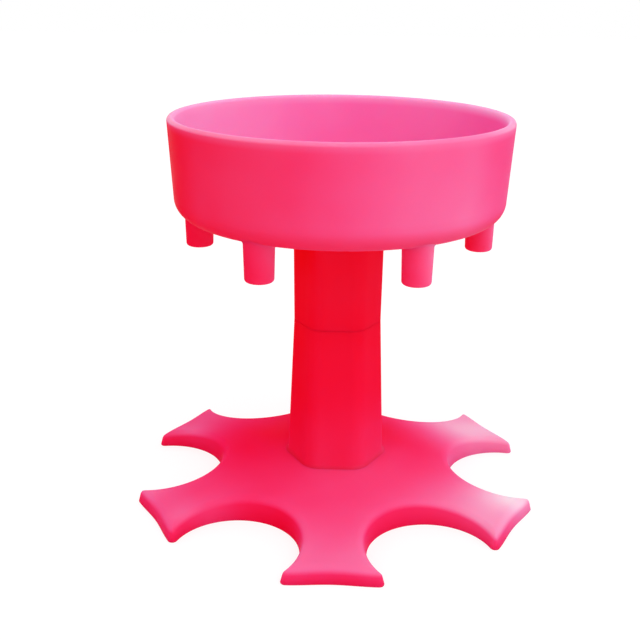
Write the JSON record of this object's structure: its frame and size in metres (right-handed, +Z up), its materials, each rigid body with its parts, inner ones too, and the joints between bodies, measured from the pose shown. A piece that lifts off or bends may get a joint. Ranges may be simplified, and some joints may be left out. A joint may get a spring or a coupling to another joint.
{
  "type": "party shot dispenser",
  "caption": "Round pouring bowl with spouts under its edge, on a six-sided stem that lifts off a star-shaped base with round bays for shot glasses.",
  "frame": {"origin": "on the table, on the stem's axis", "axes": "+Z up along the stem; one arm of the base points along -Y and one spout, with the bay under it, along +X"},
  "size_m": [0.1574, 0.1624, 0.152],
  "materials": {
    "bowl_plastic": "satin, slightly see-through moulded polypropylene, hot pink-red",
    "spout_plastic": "satin moulded polypropylene, red with a pink cast",
    "stem_plastic": "satin moulded polypropylene, deep red",
    "base_plastic": "satin, slightly see-through moulded polypropylene, crimson pink"
  },
  "bodies": {
    "stand": {"star_base": "base_plastic", "lower_stem": "stem_plastic"},
    "head": {"upper_stem": "stem_plastic", "bowl": "bowl_plastic", "spout_1": "spout_plastic", "spout_2": "spout_plastic", "spout_3": "spout_plastic", "spout_4": "spout_plastic", "spout_5": "spout_plastic", "spout_6": "spout_plastic"}
  },
  "joints": [
    {"name": "head_lift", "type": "slide", "parent": "stand", "child": "head", "axis": [0, 0, 1], "range_m": [0, 0.03]}
  ]
}
